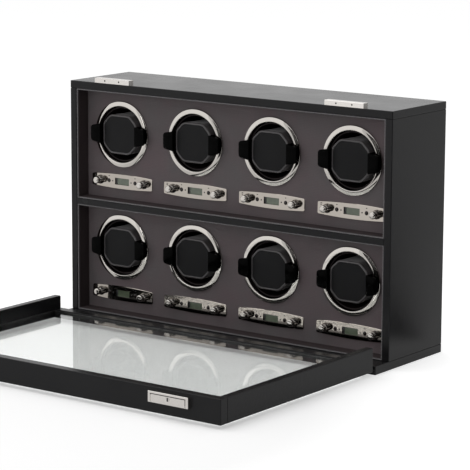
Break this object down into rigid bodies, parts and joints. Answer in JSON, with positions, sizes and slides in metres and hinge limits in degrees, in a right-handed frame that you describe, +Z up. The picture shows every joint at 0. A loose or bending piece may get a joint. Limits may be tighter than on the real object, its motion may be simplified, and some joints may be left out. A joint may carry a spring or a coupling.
{
  "type": "watch winder box",
  "caption": "Wrapped watch winder case with turning drums and cuffs in two rows, control plates, and a fold-down glazed tray door with locks.",
  "frame": {"origin": "centre of the case's underside, ledge included, where it rests on a shelf", "axes": "+X to the right seen from the front, +Y towards the back, +Z up; the open door lies towards -Y"},
  "size_m": [0.598, 0.5598, 0.3855],
  "materials": {
    "leatherette": "satin black leatherette over fibreboard",
    "back_board": "matt black wrapped board",
    "liner": "black lining with a light rubbed edge",
    "panel_cloth": "board faced with dark aubergine-grey cloth",
    "steel_rail": "zinc plated",
    "motor_steel": "plain",
    "circuit_board": "green laminate",
    "black_plastic": "matt",
    "drum_plastic": "matt black moulding",
    "cuff_black": "black suede cushion with gloss grips",
    "ring_chrome": "polished",
    "plate_metal": "polished, slightly warm",
    "knob_chrome": "polished",
    "lock_chrome": "polished",
    "hinge_steel": "plain",
    "display": "grey-green liquid crystal display",
    "lens": "dark smoked lens",
    "glass": "clear with a faint green edge"
  },
  "bodies": {
    "case": {"top_board": "leatherette", "bottom_board": "leatherette", "side_boards": "leatherette", "back_panel": "back_board", "divider_board": "leatherette", "compartment_liners": "liner", "winder_panels": "panel_cloth", "motor_rails": "steel_rail", "power_inlet": "black_plastic", "latch_keepers": "lock_chrome", "ring_bezels": "ring_chrome", "drive_motors": "motor_steel", "control_plates": "plate_metal", "display_windows": "display", "indicator_lenses": "lens", "control_circuits": "circuit_board", "hinge_case_leaves": "hinge_steel"},
    "door": {"door_top_rail": "leatherette", "door_side_rails": "leatherette", "door_bottom_rail": "leatherette", "door_glass": "glass", "glazing_bead": "liner", "hinge_door_leaves": "hinge_steel", "lock_housings": "lock_chrome"},
    "drum_upper_1": {"drum_upper_1": "drum_plastic"},
    "cuff_upper_1": {"cuff_upper_1": "cuff_black"},
    "knob_upper_1_left": {"knob_upper_1_left": "knob_chrome"},
    "knob_upper_1_right": {"knob_upper_1_right": "knob_chrome"},
    "drum_upper_2": {"drum_upper_2": "drum_plastic"},
    "cuff_upper_2": {"cuff_upper_2": "cuff_black"},
    "knob_upper_2_left": {"knob_upper_2_left": "knob_chrome"},
    "knob_upper_2_right": {"knob_upper_2_right": "knob_chrome"},
    "drum_upper_3": {"drum_upper_3": "drum_plastic"},
    "cuff_upper_3": {"cuff_upper_3": "cuff_black"},
    "knob_upper_3_left": {"knob_upper_3_left": "knob_chrome"},
    "knob_upper_3_right": {"knob_upper_3_right": "knob_chrome"},
    "drum_upper_4": {"drum_upper_4": "drum_plastic"},
    "cuff_upper_4": {"cuff_upper_4": "cuff_black"},
    "knob_upper_4_left": {"knob_upper_4_left": "knob_chrome"},
    "knob_upper_4_right": {"knob_upper_4_right": "knob_chrome"},
    "drum_lower_1": {"drum_lower_1": "drum_plastic"},
    "cuff_lower_1": {"cuff_lower_1": "cuff_black"},
    "knob_lower_1_left": {"knob_lower_1_left": "knob_chrome"},
    "knob_lower_1_right": {"knob_lower_1_right": "knob_chrome"},
    "drum_lower_2": {"drum_lower_2": "drum_plastic"},
    "cuff_lower_2": {"cuff_lower_2": "cuff_black"},
    "knob_lower_2_left": {"knob_lower_2_left": "knob_chrome"},
    "knob_lower_2_right": {"knob_lower_2_right": "knob_chrome"},
    "drum_lower_3": {"drum_lower_3": "drum_plastic"},
    "cuff_lower_3": {"cuff_lower_3": "cuff_black"},
    "knob_lower_3_left": {"knob_lower_3_left": "knob_chrome"},
    "knob_lower_3_right": {"knob_lower_3_right": "knob_chrome"},
    "drum_lower_4": {"drum_lower_4": "drum_plastic"},
    "cuff_lower_4": {"cuff_lower_4": "cuff_black"},
    "knob_lower_4_left": {"knob_lower_4_left": "knob_chrome"},
    "knob_lower_4_right": {"knob_lower_4_right": "knob_chrome"},
    "lock_plug_left": {"lock_plug_left": "lock_chrome"},
    "lock_bolts_left": {"lock_bolts_left": "hinge_steel"},
    "lock_plug_right": {"lock_plug_right": "lock_chrome"},
    "lock_bolts_right": {"lock_bolts_right": "hinge_steel"}
  },
  "joints": [
    {"name": "door_hinge", "type": "hinge", "parent": "case", "child": "door", "pos_m": [0, -0.0907, 0.0072], "axis": [-1, 0, 0], "range_deg": [0, 90]},
    {"name": "drum_upper_1_turn", "type": "hinge", "parent": "case", "child": "drum_upper_1", "pos_m": [-0.2154, 0.0045, 0.2968], "axis": [0, 1, 0], "continuous": true},
    {"name": "cuff_upper_1_pull", "type": "slide", "parent": "drum_upper_1", "child": "cuff_upper_1", "axis": [0, 1, 0], "range_m": [-0.075, 0]},
    {"name": "knob_upper_1_left_turn", "type": "hinge", "parent": "case", "child": "knob_upper_1_left", "pos_m": [-0.2588, -0.0355, 0.2218], "axis": [0, -1, 0], "range_deg": [-45, 45]},
    {"name": "knob_upper_1_right_turn", "type": "hinge", "parent": "case", "child": "knob_upper_1_right", "pos_m": [-0.172, -0.0355, 0.2218], "axis": [0, -1, 0], "range_deg": [-120, 120]},
    {"name": "drum_upper_2_turn", "type": "hinge", "parent": "case", "child": "drum_upper_2", "pos_m": [-0.0718, 0.0045, 0.2968], "axis": [0, 1, 0], "continuous": true},
    {"name": "cuff_upper_2_pull", "type": "slide", "parent": "drum_upper_2", "child": "cuff_upper_2", "axis": [0, 1, 0], "range_m": [-0.075, 0]},
    {"name": "knob_upper_2_left_turn", "type": "hinge", "parent": "case", "child": "knob_upper_2_left", "pos_m": [-0.1152, -0.0355, 0.2218], "axis": [0, -1, 0], "range_deg": [-45, 45]},
    {"name": "knob_upper_2_right_turn", "type": "hinge", "parent": "case", "child": "knob_upper_2_right", "pos_m": [-0.0284, -0.0355, 0.2218], "axis": [0, -1, 0], "range_deg": [-120, 120]},
    {"name": "drum_upper_3_turn", "type": "hinge", "parent": "case", "child": "drum_upper_3", "pos_m": [0.0718, 0.0045, 0.2968], "axis": [0, 1, 0], "continuous": true},
    {"name": "cuff_upper_3_pull", "type": "slide", "parent": "drum_upper_3", "child": "cuff_upper_3", "axis": [0, 1, 0], "range_m": [-0.075, 0]},
    {"name": "knob_upper_3_left_turn", "type": "hinge", "parent": "case", "child": "knob_upper_3_left", "pos_m": [0.0284, -0.0355, 0.2218], "axis": [0, -1, 0], "range_deg": [-45, 45]},
    {"name": "knob_upper_3_right_turn", "type": "hinge", "parent": "case", "child": "knob_upper_3_right", "pos_m": [0.1152, -0.0355, 0.2218], "axis": [0, -1, 0], "range_deg": [-120, 120]},
    {"name": "drum_upper_4_turn", "type": "hinge", "parent": "case", "child": "drum_upper_4", "pos_m": [0.2154, 0.0045, 0.2968], "axis": [0, 1, 0], "continuous": true},
    {"name": "cuff_upper_4_pull", "type": "slide", "parent": "drum_upper_4", "child": "cuff_upper_4", "axis": [0, 1, 0], "range_m": [-0.075, 0]},
    {"name": "knob_upper_4_left_turn", "type": "hinge", "parent": "case", "child": "knob_upper_4_left", "pos_m": [0.172, -0.0355, 0.2218], "axis": [0, -1, 0], "range_deg": [-45, 45]},
    {"name": "knob_upper_4_right_turn", "type": "hinge", "parent": "case", "child": "knob_upper_4_right", "pos_m": [0.2588, -0.0355, 0.2218], "axis": [0, -1, 0], "range_deg": [-120, 120]},
    {"name": "drum_lower_1_turn", "type": "hinge", "parent": "case", "child": "drum_lower_1", "pos_m": [-0.2154, 0.0045, 0.1176], "axis": [0, 1, 0], "continuous": true},
    {"name": "cuff_lower_1_pull", "type": "slide", "parent": "drum_lower_1", "child": "cuff_lower_1", "axis": [0, 1, 0], "range_m": [-0.075, 0]},
    {"name": "knob_lower_1_left_turn", "type": "hinge", "parent": "case", "child": "knob_lower_1_left", "pos_m": [-0.2588, -0.0355, 0.0426], "axis": [0, -1, 0], "range_deg": [-45, 45]},
    {"name": "knob_lower_1_right_turn", "type": "hinge", "parent": "case", "child": "knob_lower_1_right", "pos_m": [-0.172, -0.0355, 0.0426], "axis": [0, -1, 0], "range_deg": [-120, 120]},
    {"name": "drum_lower_2_turn", "type": "hinge", "parent": "case", "child": "drum_lower_2", "pos_m": [-0.0718, 0.0045, 0.1176], "axis": [0, 1, 0], "continuous": true},
    {"name": "cuff_lower_2_pull", "type": "slide", "parent": "drum_lower_2", "child": "cuff_lower_2", "axis": [0, 1, 0], "range_m": [-0.075, 0]},
    {"name": "knob_lower_2_left_turn", "type": "hinge", "parent": "case", "child": "knob_lower_2_left", "pos_m": [-0.1152, -0.0355, 0.0426], "axis": [0, -1, 0], "range_deg": [-45, 45]},
    {"name": "knob_lower_2_right_turn", "type": "hinge", "parent": "case", "child": "knob_lower_2_right", "pos_m": [-0.0284, -0.0355, 0.0426], "axis": [0, -1, 0], "range_deg": [-120, 120]},
    {"name": "drum_lower_3_turn", "type": "hinge", "parent": "case", "child": "drum_lower_3", "pos_m": [0.0718, 0.0045, 0.1176], "axis": [0, 1, 0], "continuous": true},
    {"name": "cuff_lower_3_pull", "type": "slide", "parent": "drum_lower_3", "child": "cuff_lower_3", "axis": [0, 1, 0], "range_m": [-0.075, 0]},
    {"name": "knob_lower_3_left_turn", "type": "hinge", "parent": "case", "child": "knob_lower_3_left", "pos_m": [0.0284, -0.0355, 0.0426], "axis": [0, -1, 0], "range_deg": [-45, 45]},
    {"name": "knob_lower_3_right_turn", "type": "hinge", "parent": "case", "child": "knob_lower_3_right", "pos_m": [0.1152, -0.0355, 0.0426], "axis": [0, -1, 0], "range_deg": [-120, 120]},
    {"name": "drum_lower_4_turn", "type": "hinge", "parent": "case", "child": "drum_lower_4", "pos_m": [0.2154, 0.0045, 0.1176], "axis": [0, 1, 0], "continuous": true},
    {"name": "cuff_lower_4_pull", "type": "slide", "parent": "drum_lower_4", "child": "cuff_lower_4", "axis": [0, 1, 0], "range_m": [-0.075, 0]},
    {"name": "knob_lower_4_left_turn", "type": "hinge", "parent": "case", "child": "knob_lower_4_left", "pos_m": [0.172, -0.0355, 0.0426], "axis": [0, -1, 0], "range_deg": [-45, 45]},
    {"name": "knob_lower_4_right_turn", "type": "hinge", "parent": "case", "child": "knob_lower_4_right", "pos_m": [0.2588, -0.0355, 0.0426], "axis": [0, -1, 0], "range_deg": [-120, 120]},
    {"name": "lock_plug_left_turn", "type": "hinge", "parent": "door", "child": "lock_plug_left", "pos_m": [-0.2154, -0.4655, 0.02945], "axis": [0, -1, 0], "range_deg": [0, 90]},
    {"name": "lock_bolts_left_slide", "type": "slide", "parent": "door", "child": "lock_bolts_left", "axis": [0, 0, 1], "range_m": [0, 0.0088]},
    {"name": "lock_plug_right_turn", "type": "hinge", "parent": "door", "child": "lock_plug_right", "pos_m": [0.2154, -0.4655, 0.02945], "axis": [0, -1, 0], "range_deg": [0, 90]},
    {"name": "lock_bolts_right_slide", "type": "slide", "parent": "door", "child": "lock_bolts_right", "axis": [0, 0, 1], "range_m": [0, 0.0088]}
  ],
  "couplings": [
    {"joint": "lock_plug_left_turn", "follows": "lock_bolts_left_slide", "rad_per_m": 178.4},
    {"joint": "lock_plug_right_turn", "follows": "lock_bolts_right_slide", "rad_per_m": 178.4}
  ]
}
